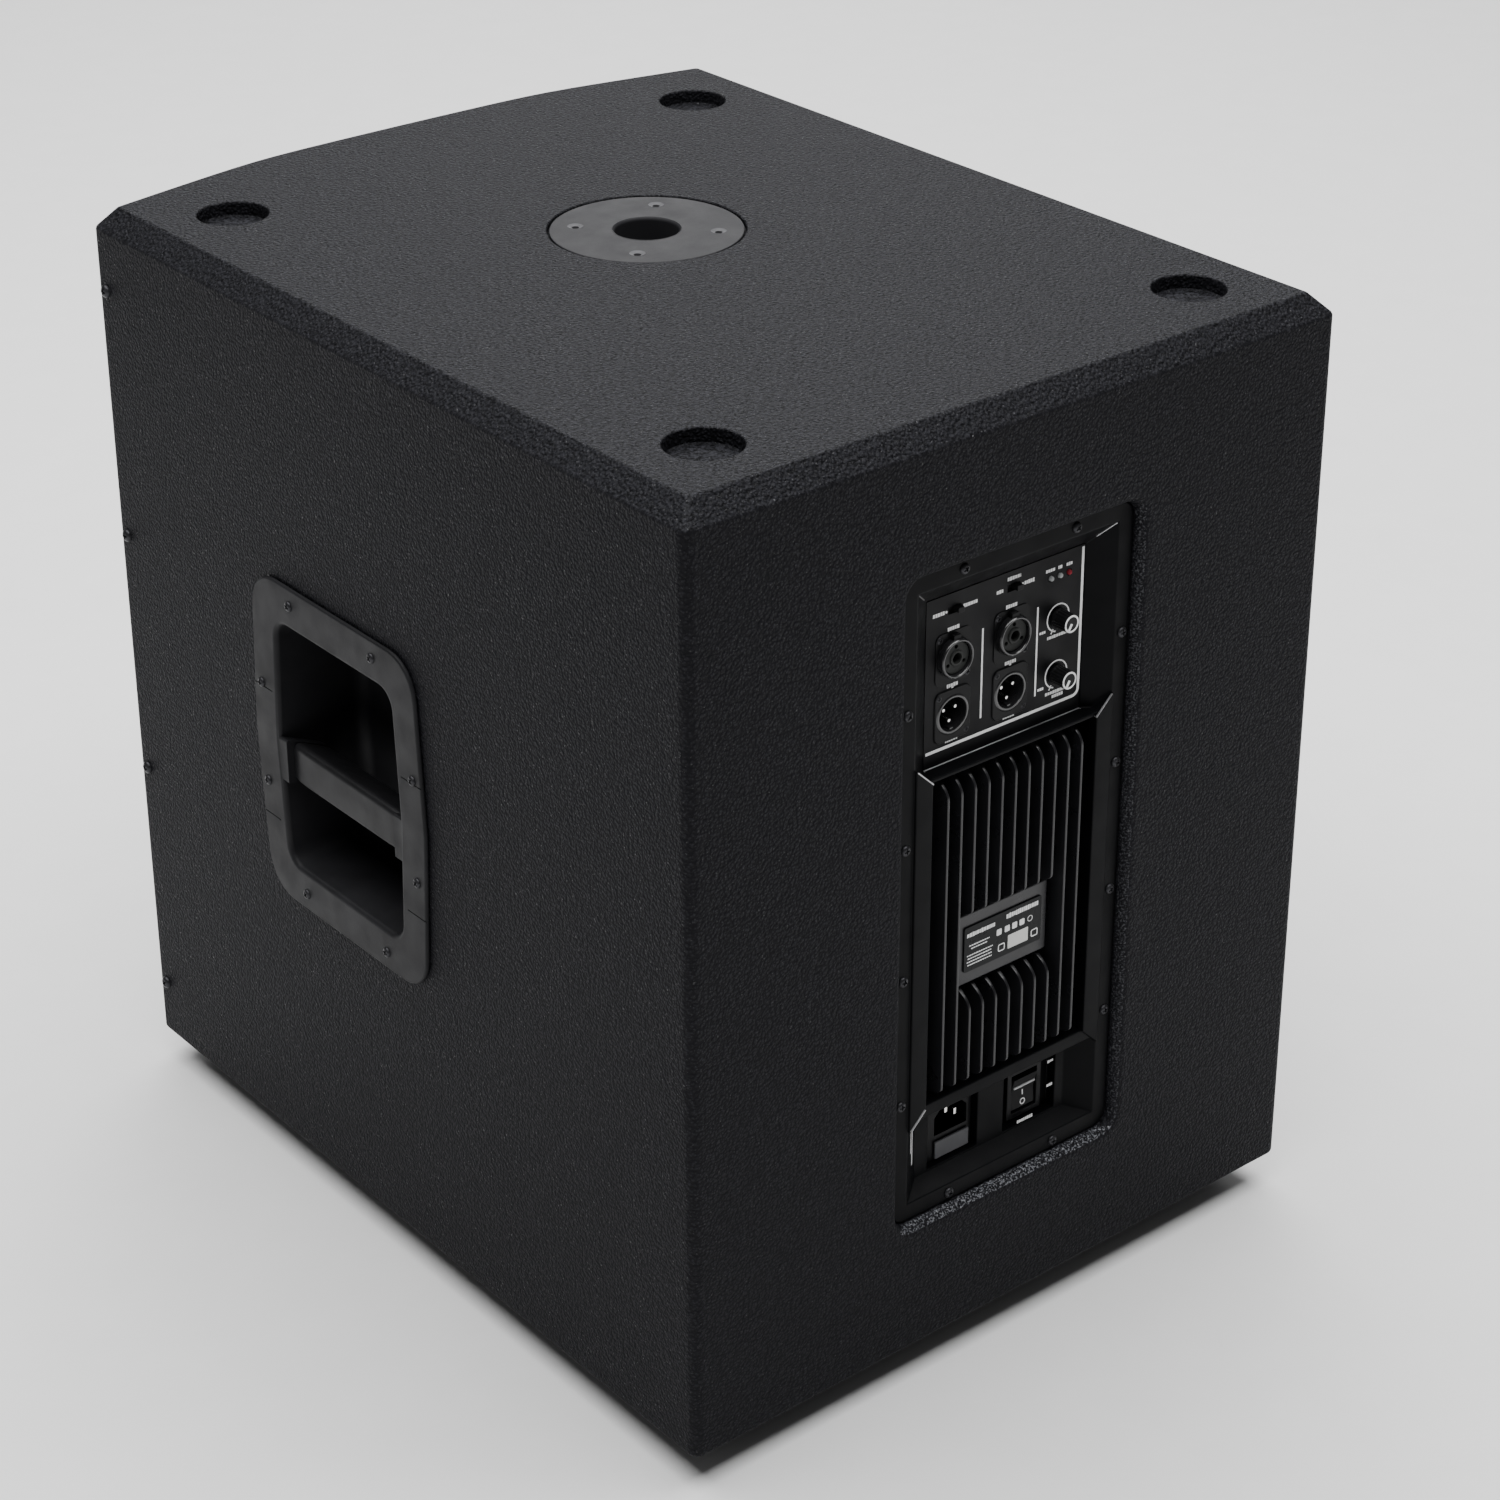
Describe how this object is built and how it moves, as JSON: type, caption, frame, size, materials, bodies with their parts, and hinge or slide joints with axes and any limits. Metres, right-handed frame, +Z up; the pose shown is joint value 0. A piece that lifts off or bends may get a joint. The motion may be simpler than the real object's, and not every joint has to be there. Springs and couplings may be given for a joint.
{
  "type": "powered subwoofer pa speaker cabinet",
  "caption": "Bevelled plywood subwoofer cabinet with side handles, pole-mount plate, stacking feet, bowed front grille and a recessed rear amplifier.",
  "frame": {"origin": "centre of the bounding box's footprint, on the floor under the rubber feet", "axes": "+Z up; the grille faces -Y and the amplifier panel faces +Y; +X is the side board on the right of someone facing the grille"},
  "size_m": [0.456, 0.578, 0.5798],
  "materials": {
    "cabinet_paint": "textured sprayed black paint on plywood",
    "bare_board": "bare plywood",
    "grille_steel": "black powder coat, satin",
    "grille_foam": "open-cell foam",
    "screw_steel": "black-passivated screws",
    "handle_plastic": "finely textured moulding",
    "grip_plastic": "finely textured moulding",
    "foot_rubber": "matte",
    "pole_plate_metal": "satin grey-black powder coat",
    "cast_metal": "black cast aluminium",
    "magnet_metal": "zinc plated",
    "cone_paper": "black doped paper",
    "surround_rubber": "soft matte",
    "coil_copper": "enamelled copper winding",
    "spider_cloth": "resin-dipped cloth",
    "panel_paint": "fine satin coat with white print",
    "socket_plastic": "satin moulding",
    "knob_plastic": "satin moulding",
    "light_pipe": "clear moulding",
    "label_film": "dark printed film",
    "board_laminate": "green laminate",
    "zinc_sheet": "plain zinc-coated sheet"
  },
  "bodies": {
    "cabinet": {"top_panel": "cabinet_paint", "bottom_panel": "cabinet_paint", "rear_panel": "cabinet_paint", "side_panel_left": "cabinet_paint", "side_panel_right": "cabinet_paint", "front_baffle": "bare_board", "port_shelf": "bare_board", "inner_brace": "bare_board", "front_grille": "grille_steel", "grille_foam": "grille_foam", "grille_screw_left_1": "screw_steel", "grille_screw_left_2": "screw_steel", "grille_screw_left_3": "screw_steel", "grille_screw_left_4": "screw_steel", "grille_screw_right_1": "screw_steel", "grille_screw_right_2": "screw_steel", "grille_screw_right_3": "screw_steel", "grille_screw_right_4": "screw_steel", "pole_plate_screw_1": "screw_steel", "pole_plate_screw_2": "screw_steel", "pole_plate_screw_3": "screw_steel", "pole_plate_screw_4": "screw_steel", "handle_recess_left": "handle_plastic", "handle_recess_right": "handle_plastic", "handle_grip_left": "grip_plastic", "handle_grip_right": "grip_plastic", "foot_front_left": "foot_rubber", "foot_front_right": "foot_rubber", "foot_rear_left": "foot_rubber", "foot_rear_right": "foot_rubber", "pole_mount_plate": "pole_plate_metal", "driver_basket": "cast_metal", "amp_bezel": "cast_metal", "heatsink": "cast_metal", "driver_magnet": "magnet_metal", "driver_surround": "surround_rubber", "mains_transformer": "coil_copper", "driver_spider": "spider_cloth", "control_panel": "panel_paint", "combo_socket_a": "socket_plastic", "combo_socket_b": "socket_plastic", "xlr_output_a": "socket_plastic", "xlr_output_b": "socket_plastic", "mains_inlet": "socket_plastic", "power_switch_housing": "socket_plastic", "indicator_lights": "light_pipe", "rating_plate": "label_film", "control_board": "board_laminate", "amplifier_board": "board_laminate", "amp_cover": "zinc_sheet"},
    "cone_assembly": {"driver_cone": "cone_paper", "driver_dust_cap": "cone_paper", "voice_coil": "coil_copper"},
    "upper_knob": {"level_knob_upper": "knob_plastic"},
    "lower_knob": {"level_knob_lower": "knob_plastic"},
    "slider_a": {"mode_slider_a": "knob_plastic"},
    "slider_b": {"mode_slider_b": "knob_plastic"},
    "fuse_drawer": {"fuse_drawer": "socket_plastic"},
    "power_rocker": {"power_rocker": "knob_plastic"}
  },
  "joints": [
    {"name": "cone_travel", "type": "slide", "parent": "cabinet", "child": "cone_assembly", "axis": [0, 1, 0], "range_m": [-0.008, 0.008], "stiffness_N_per_m": 4000},
    {"name": "upper_knob_turn", "type": "hinge", "parent": "cabinet", "child": "upper_knob", "pos_m": [-0.038, 0.278, 0.436], "axis": [0, -1, 0], "range_deg": [0, 300]},
    {"name": "lower_knob_turn", "type": "hinge", "parent": "cabinet", "child": "lower_knob", "pos_m": [-0.038, 0.278, 0.4025], "axis": [0, -1, 0], "range_deg": [0, 300]},
    {"name": "slider_a_travel", "type": "slide", "parent": "cabinet", "child": "slider_a", "axis": [1, 0, 0], "range_m": [0, 0.004]},
    {"name": "slider_b_travel", "type": "slide", "parent": "cabinet", "child": "slider_b", "axis": [1, 0, 0], "range_m": [0, 0.004]},
    {"name": "fuse_drawer_pull", "type": "slide", "parent": "cabinet", "child": "fuse_drawer", "axis": [0, 1, 0], "range_m": [0, 0.014]},
    {"name": "power_rocker_tilt", "type": "hinge", "parent": "cabinet", "child": "power_rocker", "pos_m": [-0.03, 0.264, 0.139], "axis": [1, 0, 0], "range_deg": [0, 12]}
  ]
}
